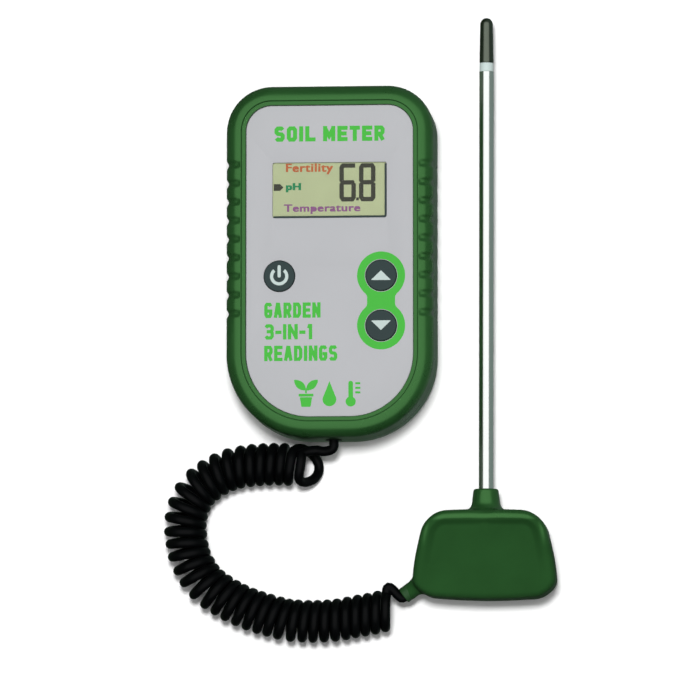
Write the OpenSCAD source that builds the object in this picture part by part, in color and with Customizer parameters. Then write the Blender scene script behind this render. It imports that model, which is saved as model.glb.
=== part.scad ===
// Hand-held soil analyser: a display meter and a rod probe joined by a curly cord.
// The meter lies face up on z = 0 with the middle of its back at the origin, and its display end is at +Y.
// The probe lies to its right, with its rod along Y.

/* [Meter housing] */
// Width of the meter
meter_w = 74.5; // [73.5:0.5:76]
// Length of the meter
meter_l = 126.5; // [126:0.5:128]
// Thickness of the meter
meter_t = 28; // [28:0.5:29]
// Corner radius at the display end
top_r = 16.5; // [16:0.5:17]
// Corner radius at the cord end
low_r = 30; // [29.5:0.5:30.5]
// Wall thickness
wall = 2.2; // [2:0.1:2.4]
// Rounding of the front edge
front_round = 5; // [4.5:0.5:5.5]
// Rounding of the back edge
back_round = 4; // [3.5:0.5:4]
// Grip grooves on each side
groove_count = 9; // [7:1:9]
// Distance from one grip groove to the next
groove_step = 6.7; // [6:0.1:6.8]

/* [Face] */
// Distance from the outer edge to the faceplate
plate_inset = 7.3; // [7.2:0.1:8]
// Thickness of the faceplate
plate_t = 1.6; // [1.4:0.1:1.8]
// Width of the display window
window_w = 41; // [38:1:42]
// Height of the display window
window_l = 20; // [18:1:21]
// Diameter of the buttons
button_d = 11; // [10:0.5:12]
// Travel of the buttons
button_travel = 0.9; // [0.6:0.1:0.9]

/* [Battery] */
// Diameter of the cell
cell_d = 10.5; // [10:0.1:10.5]
// Length of the cell with its nub
cell_l = 44.5; // [44:0.5:44.5]

/* [Probe] */
// Diameter of the rod
rod_d = 5; // [4.8:0.1:5.2]
// Thickness of the grip head
head_t = 18; // [17:0.5:19]
// Half width of the head at its shoulders
head_top_w = 20.6; // [20:0.2:21]
// Half width of the head at its lower end
head_low_w = 26; // [25.4:0.2:26.4]
// Length of the pointed electrode
tip_l = 15.9; // [14:0.1:17]

/* [Cord] */
// Diameter of the cord
cord_d = 3.5; // [3.2:0.1:3.6]
// Outer diameter of the curly stretch
coil_d = 15.5; // [14.5:0.5:15.5]

/* [Hidden] */
$fn = 64;

green = [0.13, 0.27, 0.13];
light_grey = [0.73, 0.74, 0.75];
steel = [0.75, 0.76, 0.78];
brass = [0.8, 0.65, 0.3];
black = [0.05, 0.05, 0.06];

slit = 0.05;      // clearance between fixed pieces
big = 400;        // larger than the whole object

// Heights in the meter
floor_t = 2;
part_z = 13;                        // parting plane of the two halves
face_z = meter_t - 1.8;             // visible side of the faceplate
ledge_z = face_z - plate_t;         // seat of the faceplate
step_z = meter_t - 0.8;             // small step inside the frame
frame_z = 22.2;                     // underside of the frame's rim
pcb_t = 1.6;
pcb_z = 16;                         // underside of the board
pcb_top = pcb_z + pcb_t;
ledge_w = 2;                        // width of the faceplate's seat

// Display stack, which reaches up into a pocket behind the faceplate's window
window_rim_t = 0.6;                 // faceplate's thickness around the window
lens_t = 0.5;
lens_z = face_z - window_rim_t - lens_t;
panel_t = 2;
panel_z = lens_z - 0.1 - panel_t;
pocket_w = window_w + 5.6;
pocket_l = window_l + 6.6;
holder_top = ledge_z - 0.1;
strip_y = 11.2;                     // distance of the contact strips from the display's middle

// Places in the meter
window_y = 25.4;
buttons = [[-18, -5.5], [18.5, -5.5], [18.5, -23.5]];
button_gap = 0.2;
flange_r = button_d / 2 + 1.1;
groove_w = 3;
groove_depth = 0.7;
groove_top_y = 34.8;
case_screws = [[26.5, 52.5], [-26.5, 52.5], [23.5, -49.5], [-23.5, -49.5]];
board_screws = [[29.5, 24], [-29.5, 24], [29.5, -16], [-29.5, -16]];
boss_r = 3.5;
post_r = 2.5;
screw_r = 1.1;
small_screw_r = 0.9;
head_z = 9;                         // seat of the housing screws' heads

// Battery bay and its door
bay_w = 12.4;
bay_wall = 3.4;
bay_top_y = -5;
bay_l = cell_l + 5;
bay_low_y = bay_top_y - bay_l;
bay_roof = 1.2;
cell_z = 7.6;
plate_contact_t = 0.5;
spring_l = bay_l - cell_l - 2 * plate_contact_t;
door_w = 16;
door_gap = 0.2;
door_top_y = bay_top_y;
door_low_y = bay_low_y - 3;
hinge_r = floor_t / 2;               // round upper edge that the door turns on
hinge_y = door_top_y - hinge_r;
hook_x = 5;
hook_w = 2;
hook_tip_y = -3.4;
lip_t = 1;                          // plastic left under each hook
tongue_w = 7;
low_contact_w = 9;
top_contact_w = 7;                  // passes between the door's hooks

// Cord outlet of the meter
cord_x = 0.5;
cord_z = part_z;
grommet_r = 3;
grommet_out_y = -meter_l / 2 - 0.25;
grommet_in_y = -meter_l / 2 + wall;
grommet_flange_t = 1.2;

// Probe
probe_x = 54.5;
rod_z = head_t / 2;
head_top_y = -88.8;
head_low_y = -120.8;
head_round = 4.4;
corner_top_r = 5;
corner_low_r = 4.5;
head_wall = 2.5;
collar_y = -81;
ring_y = 69.9;
ring_l = 3.1;
tip_y = ring_y + ring_l;
rod_in_y = -98;
core_r = 1;
core_in_y = -104;
bore_r = 1.8;                       // inside of the rod tube
lock_r = 4.4;                       // metal collar on the rod's end
head_screw_x = 16;
head_screw_y = -109;
outlet_end = [25.2, -119.2];
outlet_angle = 36.87;
outlet_r = 2.7;

// Cord routes
coil_z = coil_d / 2 + 0.05;
coil_route = [
    [-5, -72], [-10, -72], [-17.5, -71.5], [-25, -71.5], [-31, -72], [-36.5, -73], [-41.5, -75],
    [-45.5, -77.5], [-49, -80.5], [-51.5, -84.5], [-53, -89], [-53.5, -94], [-53, -99],
    [-52, -104], [-50, -108.5], [-47.5, -112.5], [-44, -116], [-39.5, -119], [-35, -121.5],
    [-29, -124], [-22.5, -126], [-16.5, -127.5], [-10, -128], [-4, -128], [2, -127.5],
    [8.5, -126.3], [14.3, -125.3], [19.6, -124]];
meter_lead_route = [
    [cord_x, grommet_out_y, cord_z], [cord_x, -65.4, 13], [-0.2, -66.6, 12.6], [-1.7, -67.1, 12],
    [-3.5, -67.2, 11.5], [-5, -67.2, 11.5]];
probe_lead_route = [
    [18.05, -117.58, 10.8], [19.2, -117.3, 10.8], [20.9, -116.8, 10.8], [22.4, -118, 10.2],
    [23.7, -119.3, 9.6], [24.8, -120, 9.2]];
meter_wire_route = [
    [cord_x, grommet_in_y + grommet_flange_t, cord_z], [cord_x, -59, 13], [1.6, -57.9, 13],
    [4, -57.5, 13], [9, -57.4, 13], [12.2, -56, 13], [14.8, -53, 13.2], [16, -49.5, 13.4],
    [16, -46, 13.4]];
head_wire_route = [
    [33.68, -112.84, 9], [34.48, -112.24, 9], [35.4, -112.5, 9], [36.6, -113.3, 9], [38.2, -113.9, 9],
    [41, -113.8, 9], [44, -112.6, 9], [46.5, -111, 9], [49, -109.4, 9], [51.5, -108, 9],
    [53.5, -107, 9], [probe_x, -105.6, 9], [probe_x, core_in_y, 9]];

// Flat outline of the meter, drawn in from its edge
module outline(inset) {
    w = meter_w / 2 - inset;
    l = meter_l / 2 - inset;
    t = top_r - inset;
    b = low_r - inset;
    polygon([
        [w, l - t], [w - t, l], [t - w, l], [-w, l - t],
        [-w, b - l], [b - w, -l], [w - b, -l], [w, b - l]]);
    for (side = [-1, 1]) {
        translate([side * (w - t), l - t]) circle(t);
        translate([side * (w - b), b - l]) circle(b);
    }
}

// Disc with its lower rim rounded
module puck(r, h, edge) {
    steps = 5;
    rim = [for (i = [0:steps]) [r - edge + edge * sin(90 * i / steps), edge - edge * cos(90 * i / steps)]];
    rotate_extrude($fn = 40) polygon(concat([[0, 0]], rim, [[r, h], [0, h]]));
}

// Half of the meter's housing, solid, with its lower edge rounded
module meter_half(h, edge) {
    hull() for (side = [-1, 1]) {
        translate([side * (meter_w / 2 - top_r), meter_l / 2 - top_r, 0]) puck(top_r, h, edge);
        translate([side * (meter_w / 2 - low_r), low_r - meter_l / 2, 0]) puck(low_r, h, edge);
    }
}

// Closed tube that follows a route; up is a direction that the route never runs along
module sweep(route, r, sides, up = [0, 0, 1]) {
    n = len(route);
    function unit(v) = v / norm(v);
    function along(i) = unit(route[min(i + 1, n - 1)] - route[max(i - 1, 0)]);
    function ring(i) = let (t = along(i), a = unit(cross(t, up)), b = cross(a, t))
        [for (k = [0:sides - 1]) route[i] + r * (cos(360 * k / sides) * a + sin(360 * k / sides) * b)];
    skin = [for (i = [0:n - 2], k = [0:sides - 1])
        let (p = i * sides + k, q = i * sides + (k + 1) % sides)
        for (face = [[p, p + sides, q + sides], [p, q + sides, q]]) face];
    first = [for (k = [0:sides - 1]) k];
    last = [for (k = [sides - 1:-1:0]) (n - 1) * sides + k];
    polyhedron(points = [for (i = [0:n - 1], p = ring(i)) p], faces = concat(skin, [first], [last]));
}

// Cylinder along Y from one place to another
module rod_y(y0, y1, r, x = 0, z = 0) {
    translate([x, y0, z]) rotate([-90, 0, 0]) cylinder(r = r, h = y1 - y0);
}

// Screw that points up, with the underside of its head at z = 0 and a cross slot
module screw(r, length, cap_r, cap_h) {
    difference() {
        union() {
            cylinder(r = r, h = length);
            translate([0, 0, -cap_h]) cylinder(r = cap_r, h = cap_h);
        }
        for (turn = [0, 90]) rotate(turn) translate([-cap_r * 0.7, -0.3, -cap_h - 1]) cube([cap_r * 1.4, 0.6, 1.6]);
    }
}

module grommet_hole() {
    rod_y(-meter_l, grommet_in_y + 1, grommet_r + slit, cord_x, cord_z);
}

// Notches that follow the frame's flank and rounded front edge
module grip_grooves() {
    w = meter_w / 2;
    steps = 4;
    inner = front_round - groove_depth;
    bend = [for (i = [0:steps])
        [w - front_round + inner * cos(90 * i / steps), meter_t - front_round + inner * sin(90 * i / steps)]];
    side = concat([[w + 1, part_z + 2], [w - groove_depth, part_z + 2]], bend,
        [[w - front_round, meter_t + 1], [w + 1, meter_t + 1]]);
    for (i = [0:groove_count - 1], flip = [0, 1]) mirror([flip, 0, 0])
        translate([0, groove_top_y - i * groove_step + groove_w / 2, 0]) rotate([90, 0, 0])
            linear_extrude(groove_w) polygon(side);
}

module front_shell() {
    color(green) difference() {
        union() {
            difference() {
                translate([0, 0, meter_t]) mirror([0, 0, 1]) meter_half(meter_t - part_z, front_round);
                translate([0, 0, part_z - 1]) linear_extrude(frame_z - part_z + 1) outline(wall);
                translate([0, 0, part_z]) linear_extrude(meter_t) outline(plate_inset + ledge_w);
                translate([0, 0, ledge_z]) linear_extrude(meter_t) outline(plate_inset - 2 * slit);
                translate([0, 0, step_z]) linear_extrude(meter_t) outline(plate_inset - 2);
            }
            for (p = case_screws) translate([p.x, p.y, part_z]) cylinder(r = boss_r, h = frame_z - part_z + 1);
            for (p = board_screws) translate([p.x, p.y, pcb_top]) cylinder(r = post_r, h = frame_z - pcb_top + 1);
        }
        for (p = case_screws) translate([p.x, p.y, part_z - 1]) cylinder(r = screw_r + slit, h = 8.5);
        for (p = board_screws) translate([p.x, p.y, pcb_z]) cylinder(r = small_screw_r + slit, h = 6);
        grip_grooves();
        grommet_hole();
    }
}

module rear_shell() {
    latch_y = door_low_y - door_gap;
    color(green) difference() {
        union() {
            difference() {
                meter_half(part_z, back_round);
                translate([0, 0, floor_t]) linear_extrude(part_z) outline(wall);
            }
            // battery bay, and the lower box that holds the door's latch
            translate([-bay_w / 2 - bay_wall, bay_low_y - 1.2, floor_t / 2])
                cube([bay_w + 2 * bay_wall, bay_l + 1.2 + bay_wall, part_z + 0.1 + bay_roof - floor_t / 2]);
            translate([-tongue_w, latch_y - 1.5, floor_t / 2]) cube([2 * tongue_w, 5, 6]);
            for (p = case_screws) translate([p.x, p.y, floor_t / 2]) cylinder(r = boss_r, h = part_z - floor_t / 2);
        }
        // room for the cell, opening for the door, room for its hooks and its latch
        translate([-bay_w / 2, bay_low_y, -1]) cube([bay_w, bay_l, part_z + 1.1]);
        translate([-door_w / 2 - door_gap, latch_y, -1])
            cube([door_w + 2 * door_gap, door_top_y - latch_y + door_gap, floor_t + 1]);
        for (side = [-1, 1]) translate([side * hook_x - hook_w / 2 - 0.3, bay_top_y - 1, lip_t])
            cube([hook_w + 0.6, 3.4, 3.4]);
        translate([-tongue_w / 2 - 0.5, latch_y, floor_t - 1]) cube([tongue_w + 1, 1.9, 5.2]);
        for (p = case_screws) translate([p.x, p.y, 0]) {
            translate([0, 0, -1]) cylinder(r = 2.5, h = head_z + 1);
            cylinder(r = screw_r + 0.2, h = part_z + 1);
        }
        grommet_hole();
    }
}

module faceplate() {
    color(light_grey) difference() {
        translate([0, 0, ledge_z]) linear_extrude(plate_t) outline(plate_inset);
        display_block(window_w, window_l, ledge_z - 1, meter_t);
        display_block(pocket_w, pocket_l, ledge_z - 1, face_z - window_rim_t);
        for (p = buttons) translate([p.x, p.y, 0]) cylinder(r = button_d / 2 + button_gap, h = meter_t);
    }
}

// Rectangular block centred on the display
module display_block(w, l, z0, z1) {
    translate([-w / 2, window_y - l / 2, z0]) cube([w, l, z1 - z0]);
}

module lcd_lens() {
    color([0.8, 0.9, 0.85, 0.4]) display_block(window_w + 4, window_l + 4, lens_z, lens_z + lens_t);
}

module lcd_panel() {
    color([0.69, 0.73, 0.57]) display_block(window_w + 5, window_l + 6, panel_z, panel_z + panel_t);
}

module lcd_holder() {
    color("white") difference() {
        display_block(window_w + 9, window_l + 10, pcb_top, holder_top);
        display_block(window_w + 5.2, window_l + 6.2, panel_z, meter_t);
        display_block(window_w - 1, window_l - 2, pcb_top + 1.5, meter_t);
        for (side = [-1, 1]) translate([-window_w / 2 - 0.7, window_y + side * strip_y - 1.1, pcb_z])
            cube([window_w + 1.4, 2.2, panel_z - pcb_z + 1]);
    }
}

module zebra_strips() {
    color("hotpink") for (side = [-1, 1]) translate([-window_w / 2, window_y + side * strip_y - 1, pcb_top])
        cube([window_w, 2, panel_z - pcb_top]);
}

module main_pcb() {
    color("seagreen") translate([0, 0, pcb_z]) linear_extrude(pcb_t) difference() {
        outline(5);
        for (p = case_screws) translate(p) circle(boss_r + 0.4);
        for (p = board_screws) translate(p) circle(small_screw_r + 0.2);
    }
}

module controller_chip() {
    size = 10;
    color(black) {
        translate([-16 - size / 2, 30 - size / 2, pcb_z - 1.5]) cube([size, size, 1.3]);
        for (i = [-3:3], side = [-1, 1]) {
            translate([-16 + side * (size / 2 + 0.4) - 0.5, 30 + i * 1.2 - 0.25, pcb_z - 1]) cube([1, 0.5, 1]);
            translate([-16 + i * 1.2 - 0.25, 30 + side * (size / 2 + 0.4) - 0.5, pcb_z - 1]) cube([0.5, 1, 1]);
        }
    }
}

module pcb_components() {
    color("tan") {
        translate([-20, -38, pcb_top]) cylinder(r = 2.5, h = 4);
        for (i = [0:3]) translate([-8 + i * 4, -40, pcb_top]) cube([2, 1.2, 0.8]);
        for (i = [0:2]) translate([-4 + i * 4, -34, pcb_top]) cube([2, 1.2, 0.8]);
        translate([10, -36, pcb_top]) cube([5, 3.2, 1.2]);
    }
}

module snap_domes() {
    color(steel) for (p = buttons) translate([p.x, p.y, pcb_top]) cylinder(r1 = 3, r2 = 1.8, h = 0.5);
}

module wire_plug() {
    color("ivory") {
        translate([12, -46, pcb_z - 3.4]) cube([8, 5, 3.4]);
        for (i = [-1:1]) translate([16 + i * 2.4 - 0.3, -41, pcb_z - 0.6]) cube([0.6, 1.5, 0.6]);
    }
}

module meter_wires() {
    color("dimgray") sweep(meter_wire_route, 1.1, 8);
}

module cord_grommet() {
    color(black) {
        rod_y(grommet_out_y, grommet_in_y, grommet_r, cord_x, cord_z);
        rod_y(grommet_in_y, grommet_in_y + grommet_flange_t, grommet_r + 1.2, cord_x, cord_z);
    }
}

module battery_cell() {
    nub = 1;
    low = bay_low_y + plate_contact_t + spring_l;
    color("goldenrod") {
        rod_y(low, low + cell_l - nub, cell_d / 2, 0, cell_z);
        rod_y(low + cell_l - nub, low + cell_l, 1.9, 0, cell_z);
    }
}

module battery_spring() {
    wire_r = 0.35;
    turns = 3;
    steps = 12 * turns;
    low = bay_low_y + plate_contact_t + wire_r;
    rise = spring_l - 2 * wire_r;
    helix = [for (i = [0:steps]) let (a = 360 * turns * i / steps)
        [3 * cos(a), low + rise * i / steps, cell_z + 3 * sin(a)]];
    color(steel) sweep(helix, wire_r, 6, [0, 1, 0]);
}

module battery_contacts() {
    color(steel) for (plate = [[bay_low_y, low_contact_w], [bay_top_y - plate_contact_t, top_contact_w]])
        translate([-plate[1] / 2, plate[0], cell_z - 5]) cube([plate[1], plate_contact_t, 10]);
}

module battery_door() {
    hook_root_y = hinge_y - 2;
    color(green) difference() {
        union() {
            translate([-door_w / 2, door_low_y, 0]) cube([door_w, hinge_y - door_low_y, floor_t]);
            translate([-door_w / 2, hinge_y, hinge_r]) rotate([0, 90, 0]) cylinder(r = hinge_r, h = door_w);
            for (side = [-1, 1]) translate([side * hook_x - hook_w / 2, hook_root_y, lip_t + 0.2])
                cube([hook_w, hook_tip_y - hook_root_y, 1.2]);
            translate([-tongue_w / 2, door_low_y + 0.4, floor_t / 2]) cube([tongue_w, 0.9, 4.4]);
        }
        for (i = [0:3]) translate([-5, door_low_y + 4 + i * 2.2, -1]) cube([10, 1, 1.4]);
    }
}

module shell_screws() {
    color(steel) for (p = case_screws) translate([p.x, p.y, head_z]) screw(screw_r, 11, 2.2, 1.6);
}

module pcb_screws() {
    color(steel) for (p = board_screws) translate([p.x, p.y, pcb_z]) screw(small_screw_r, 5, 1.9, 1.1);
}

// Button cap with a flange under the faceplate and a stem above its snap dome
module button(p) {
    cap_z = face_z + 0.8;
    flange_z = ledge_z - 1.3;
    r = button_d / 2;
    color([0.2, 0.26, 0.25]) translate([p.x, p.y, 0]) rotate_extrude() polygon([
        [0, pcb_top + 0.6 + button_travel], [2.2, pcb_top + 0.6 + button_travel], [2.2, flange_z],
        [flange_r, flange_z], [flange_r, flange_z + 1.1], [r, flange_z + 1.1],
        [r, cap_z - 0.4], [r - 0.4, cap_z], [0, cap_z]]);
}

module power_button() { button(buttons[0]); }

module up_button() { button(buttons[1]); }

module down_button() { button(buttons[2]); }

// Places the first child at both shoulders of the head and the second at both lower corners
module head_corners() {
    for (side = [-1, 1]) {
        translate([probe_x + side * (head_top_w - corner_top_r), head_top_y - corner_top_r]) children(0);
        translate([probe_x + side * (head_low_w - corner_low_r), head_low_y + corner_low_r]) children(1);
    }
}

// Half of the head, solid, with its lower edge rounded
module head_half() {
    hull() head_corners() {
        puck(corner_top_r, rod_z, head_round);
        puck(corner_low_r, rod_z, head_round);
    }
}

// Flat outline of the head, drawn in from its edge by less than its corner radius
module head_outline(inset) {
    hull() head_corners() {
        circle(corner_top_r - inset, $fn = 32);
        circle(corner_low_r - inset, $fn = 32);
    }
}

// Collar that the rod comes out of
module collar() {
    translate([probe_x, collar_y, rod_z]) rotate([90, 0, 0]) cylinder(r1 = 4.3, r2 = 5.3, h = collar_y - head_top_y + 1.5);
}

// Everything along the cord outlet's slanted axis, which runs into the head
module outlet_axis() {
    translate([outlet_end.x, outlet_end.y, rod_z]) rotate([0, 0, outlet_angle]) rotate([0, 90, 0]) children();
}

module outlet_body(gap) {
    outlet_axis() {
        translate([0, 0, -gap]) cylinder(r1 = outlet_r + gap, r2 = 3.6 + gap, h = 5 + gap);
        translate([0, 0, 4]) cylinder(r = 2.8 + gap, h = 6.5);
    }
}

// What the two halves of the head share: hollow, ribs and bores, cut at the parting plane
module head_shell(upper) {
    difference() {
        union() {
            difference() {
                union() {
                    if (upper) translate([0, 0, head_t]) mirror([0, 0, 1]) head_half();
                    else head_half();
                    collar();
                }
                translate([0, 0, head_wall]) linear_extrude(head_t - 2 * head_wall) head_outline(head_wall);
            }
            // rib behind the rod, and bosses for the screws
            translate([probe_x - 7, rod_in_y - 2.2, 1]) cube([14, 2, head_t - 2]);
            for (side = [-1, 1]) translate([probe_x + side * head_screw_x, head_screw_y, 1]) cylinder(r = 3.2, h = head_t - 2);
        }
        rod_y(rod_in_y, collar_y + 1, rod_d / 2 + slit, probe_x, rod_z);
        rod_y(rod_in_y - 5, rod_in_y + 1, core_r + slit, probe_x, rod_z);
        outlet_body(slit);
        if (upper) translate([-big / 2, -big / 2, -big + rod_z]) cube(big);
        else translate([-big / 2, -big / 2, rod_z]) cube(big);
    }
}

module head_front() {
    color(green) difference() {
        head_shell(true);
        // recessed face inside a raised border
        translate([0, 0, head_t - 0.8]) linear_extrude(2) head_outline(4.2);
        for (side = [-1, 1]) translate([probe_x + side * head_screw_x, head_screw_y, 0]) cylinder(r = screw_r + slit, h = head_t - 3);
    }
}

module head_rear() {
    color(green) difference() {
        head_shell(false);
        for (side = [-1, 1]) translate([probe_x + side * head_screw_x, head_screw_y, 0]) {
            translate([0, 0, -1]) cylinder(r = 2.5, h = 5);
            cylinder(r = screw_r + 0.2, h = head_t);
        }
    }
}

module probe_rod() {
    color(steel) difference() {
        rod_y(rod_in_y, ring_y, rod_d / 2, probe_x, rod_z);
        rod_y(rod_in_y - 1, ring_y + 1, bore_r, probe_x, rod_z);
    }
}

module insulator_ring() {
    color(light_grey) difference() {
        rod_y(ring_y, tip_y, rod_d / 2, probe_x, rod_z);
        rod_y(ring_y - 1, tip_y + 1, core_r + slit, probe_x, rod_z);
    }
}

module probe_tip() {
    r = rod_d / 2;
    end_r = 2.1;
    steps = 6;
    nose = [for (i = [0:steps]) [end_r * cos(90 * i / steps), tip_l - end_r + end_r * sin(90 * i / steps)]];
    color([0.25, 0.26, 0.25]) translate([probe_x, tip_y, rod_z]) rotate([-90, 0, 0]) difference() {
        rotate_extrude() polygon(concat([[0, 0], [r, 0]], nose));
        translate([0, 0, -1]) cylinder(r = core_r + slit, h = 6);
    }
}

module core_rod() {
    color(brass) rod_y(core_in_y, tip_y + 4.9, core_r, probe_x, rod_z);
}

module insulating_sleeve() {
    color("white") difference() {
        rod_y(rod_in_y, ring_y, bore_r - slit, probe_x, rod_z);
        rod_y(rod_in_y - 1, ring_y + 1, core_r + slit, probe_x, rod_z);
    }
}

module rod_collar() {
    color(brass) difference() {
        rod_y(rod_in_y, head_top_y - head_wall - 0.1, lock_r, probe_x, rod_z);
        rod_y(rod_in_y - 1, head_top_y, rod_d / 2 + slit, probe_x, rod_z);
    }
}

// Flat tags that the wires are soldered to: one on the conductor, one on the rod's collar
module solder_tags() {
    color(steel) {
        difference() {
            translate([probe_x - 2.5, core_in_y + 1, rod_z - 2.5]) cube([5, 0.6, 5]);
            rod_y(core_in_y, core_in_y + 3, core_r + slit, probe_x, rod_z);
        }
        translate([probe_x + lock_r, rod_in_y, rod_z - 2]) cube([0.6, 6, 4]);
    }
}

module head_wires() {
    color("firebrick") sweep(head_wire_route, 1, 8);
}

module cord_outlet() {
    color(green) outlet_body(0);
}

module head_screws() {
    color(steel) for (side = [-1, 1]) translate([probe_x + side * head_screw_x, head_screw_y, 4]) screw(screw_r, 10, 2.2, 1.6);
}

module cord_lead_meter() {
    color(black) sweep(meter_lead_route, cord_d / 2, 8);
}

module curly_cord() {
    color(black) sweep([for (p = coil_route) [p.x, p.y, coil_z]], coil_d / 2, 12);
}

module cord_lead_probe() {
    color(black) sweep(probe_lead_route, cord_d / 2, 8);
}

rear_shell();
front_shell();
faceplate();
lcd_lens();
lcd_panel();
lcd_holder();
zebra_strips();
main_pcb();
controller_chip();
pcb_components();
snap_domes();
wire_plug();
meter_wires();
cord_grommet();
battery_cell();
battery_spring();
battery_contacts();
battery_door();
shell_screws();
pcb_screws();
power_button();
up_button();
down_button();
head_front();
head_rear();
probe_rod();
insulator_ring();
probe_tip();
core_rod();
insulating_sleeve();
rod_collar();
solder_tags();
head_wires();
cord_outlet();
head_screws();
cord_lead_meter();
curly_cord();
cord_lead_probe();
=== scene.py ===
"""Looks of a hand-held soil meter: a display meter and a rod probe joined by a curly cord.

Lengths are in millimetres and become metres where a mesh is made. The meter lies face up on z = 0, with its
display end at +Y, and the probe lies to its right with its rod along Y.
"""
from math import ceil, cos, hypot, pi, radians, sin, sqrt, tan

import bpy
import bmesh
import numpy as np
from mathutils import Matrix, Vector
from mathutils.geometry import delaunay_2d_cdt


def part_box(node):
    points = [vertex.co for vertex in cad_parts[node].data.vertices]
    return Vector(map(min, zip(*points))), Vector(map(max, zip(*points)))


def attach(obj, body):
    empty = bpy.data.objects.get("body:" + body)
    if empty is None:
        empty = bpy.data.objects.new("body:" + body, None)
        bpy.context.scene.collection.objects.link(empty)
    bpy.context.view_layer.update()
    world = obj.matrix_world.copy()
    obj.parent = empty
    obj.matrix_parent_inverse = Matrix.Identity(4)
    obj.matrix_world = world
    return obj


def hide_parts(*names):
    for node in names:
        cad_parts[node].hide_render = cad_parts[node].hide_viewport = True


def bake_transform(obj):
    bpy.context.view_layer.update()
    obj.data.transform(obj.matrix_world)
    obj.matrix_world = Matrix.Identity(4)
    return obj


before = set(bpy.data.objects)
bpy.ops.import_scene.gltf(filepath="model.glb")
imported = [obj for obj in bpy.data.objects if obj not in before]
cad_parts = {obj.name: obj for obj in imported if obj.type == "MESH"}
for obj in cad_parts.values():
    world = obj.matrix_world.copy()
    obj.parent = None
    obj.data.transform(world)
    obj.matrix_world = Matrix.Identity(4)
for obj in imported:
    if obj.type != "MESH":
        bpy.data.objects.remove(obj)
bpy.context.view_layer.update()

MM = 0.001


def box(node):
    """Lowest and highest corner of a CAD node, in millimetres"""
    low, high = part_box(node)
    return low / MM, high / MM


# ---- sizes, from the frame where it gives them
# Names end in _w for a width, _l for a length, _r for a radius, and _x, _y or _z for a place
shell_low, shell_high = box("front_shell")
half_w, half_l = shell_high.x, shell_high.y
part_z, top_z = shell_low.z, shell_high.z
plate_low, plate_high = box("faceplate")
plate_inset = half_w - plate_high.x
ledge_z, face_z = plate_low.z, plate_high.z
top_r, low_r = 16.5, 30
wall = 2.2
front_round, back_round = 5, 4
meter_corners = [(half_w, -half_l, low_r), (half_w, half_l, top_r),
                 (-half_w, half_l, top_r), (-half_w, -half_l, low_r)]
groove_count, groove_step, groove_w, groove_depth, groove_top_y = 9, 6.7, 3.7, 0.75, 34.8

window_x0, window_x1, window_y0, window_y1, window_rim_t = -20.5, 20.5, 15.4, 35.4, 0.6
button_places = {name: sum(box(name + "_button"), Vector()) / 2 for name in ("power", "up", "down")}
button_r, button_hole_r = 5.5, 5.7

door_low, door_high = box("battery_door")
floor_t = 2
hinge_y = door_high.y - 1.6 - floor_t / 2
door_hooks = (-5, 5)
case_screws = [(26.5, 52.5), (-26.5, 52.5), (23.5, -49.5), (-23.5, -49.5)]

rod_low, rod_high = box("probe_rod")
ring_low, ring_high = box("insulator_ring")
tip_low, tip_high = box("probe_tip")
probe_x, rod_z = (rod_low.x + rod_high.x) / 2, (rod_low.z + rod_high.z) / 2
rod_r = (rod_high.x - rod_low.x) / 2
head_low, head_high = box("head_front")
head_t = head_high.z
head_top_y, head_low_y = -88.8, head_low.y
head_top_w, head_low_w = 20.6, (head_high.x - head_low.x) / 2
head_round, face_round, lip_depth = 4.4, 2.4, 2.0
rod_shift, rod_lean = 0.35, 0.0031
head_screws = [(probe_x - 16, -109), (probe_x + 16, -109)]
outlet_end = Vector((25.2, -119.2, rod_z))
outlet_way = Vector((0.8, 0.6, 0))

cord_d, coil_d = 3.5, 15.5
coil_z = coil_d / 2 + 0.05
coil_route = [
    (-5, -72), (-10, -72), (-17.5, -71.5), (-25, -71.5), (-31, -72), (-36.5, -73), (-41.5, -75),
    (-45.5, -77.5), (-49, -80.5), (-51.5, -84.5), (-53, -89), (-53.5, -94), (-53, -99), (-52, -104),
    (-50, -108.5), (-47.5, -112.5), (-44, -116), (-39.5, -119), (-35, -121.5), (-29, -124), (-22.5, -126),
    (-16.5, -127.5), (-10, -128), (-4, -128), (2, -127.5), (8.5, -126.3), (14.3, -125.3), (19.6, -124)]
meter_lead_route = [(0.5, -62.6, 13), (0.5, -64.2, 13), (0.5, -65.4, 13), (-0.2, -66.6, 12.6),
                    (-1.7, -67.1, 12), (-3.5, -67.2, 11.5), (-6.6, -66.8, 11)]
probe_lead_route = [(19.4, -117.1, 11), (19.9, -116.1, 11), (21, -116.6, 10.8), (22.4, -118, 10.2),
                    (23.7, -119.3, 9.6), (24.9, -119.9, 9.2), (26.4, -118.8, 9)]


def placed(name, data):
    """New object in the scene"""
    made = bpy.data.objects.new(name, data)
    bpy.context.scene.collection.objects.link(made)
    return made


def applied(holder):
    """The object's mesh with its modifiers or its text applied. The object itself goes."""
    made = bpy.data.meshes.new_from_object(holder.evaluated_get(bpy.context.evaluated_depsgraph_get()))
    bpy.data.objects.remove(holder)
    return made


# ---- camera
def make_camera():
    """Long lens above the object, leaning a little towards the cord end and the probe"""
    target = Vector((6.3, -30.9, part_z)) * MM
    back = Vector((0.08, -0.10, 1)).normalized()
    distance, view_w = 2.5, 251.3 * MM
    data = bpy.data.cameras.new("camera")
    data.lens = data.sensor_width * distance / view_w
    data.clip_end = 20
    camera = placed("camera", data)
    side = Vector((0, 1, 0)).cross(back).normalized()
    turn = Matrix((side, back.cross(side), back)).transposed().to_4x4()
    camera.matrix_world = Matrix.Translation(target + back * distance) @ turn
    bpy.context.scene.camera = camera


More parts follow.
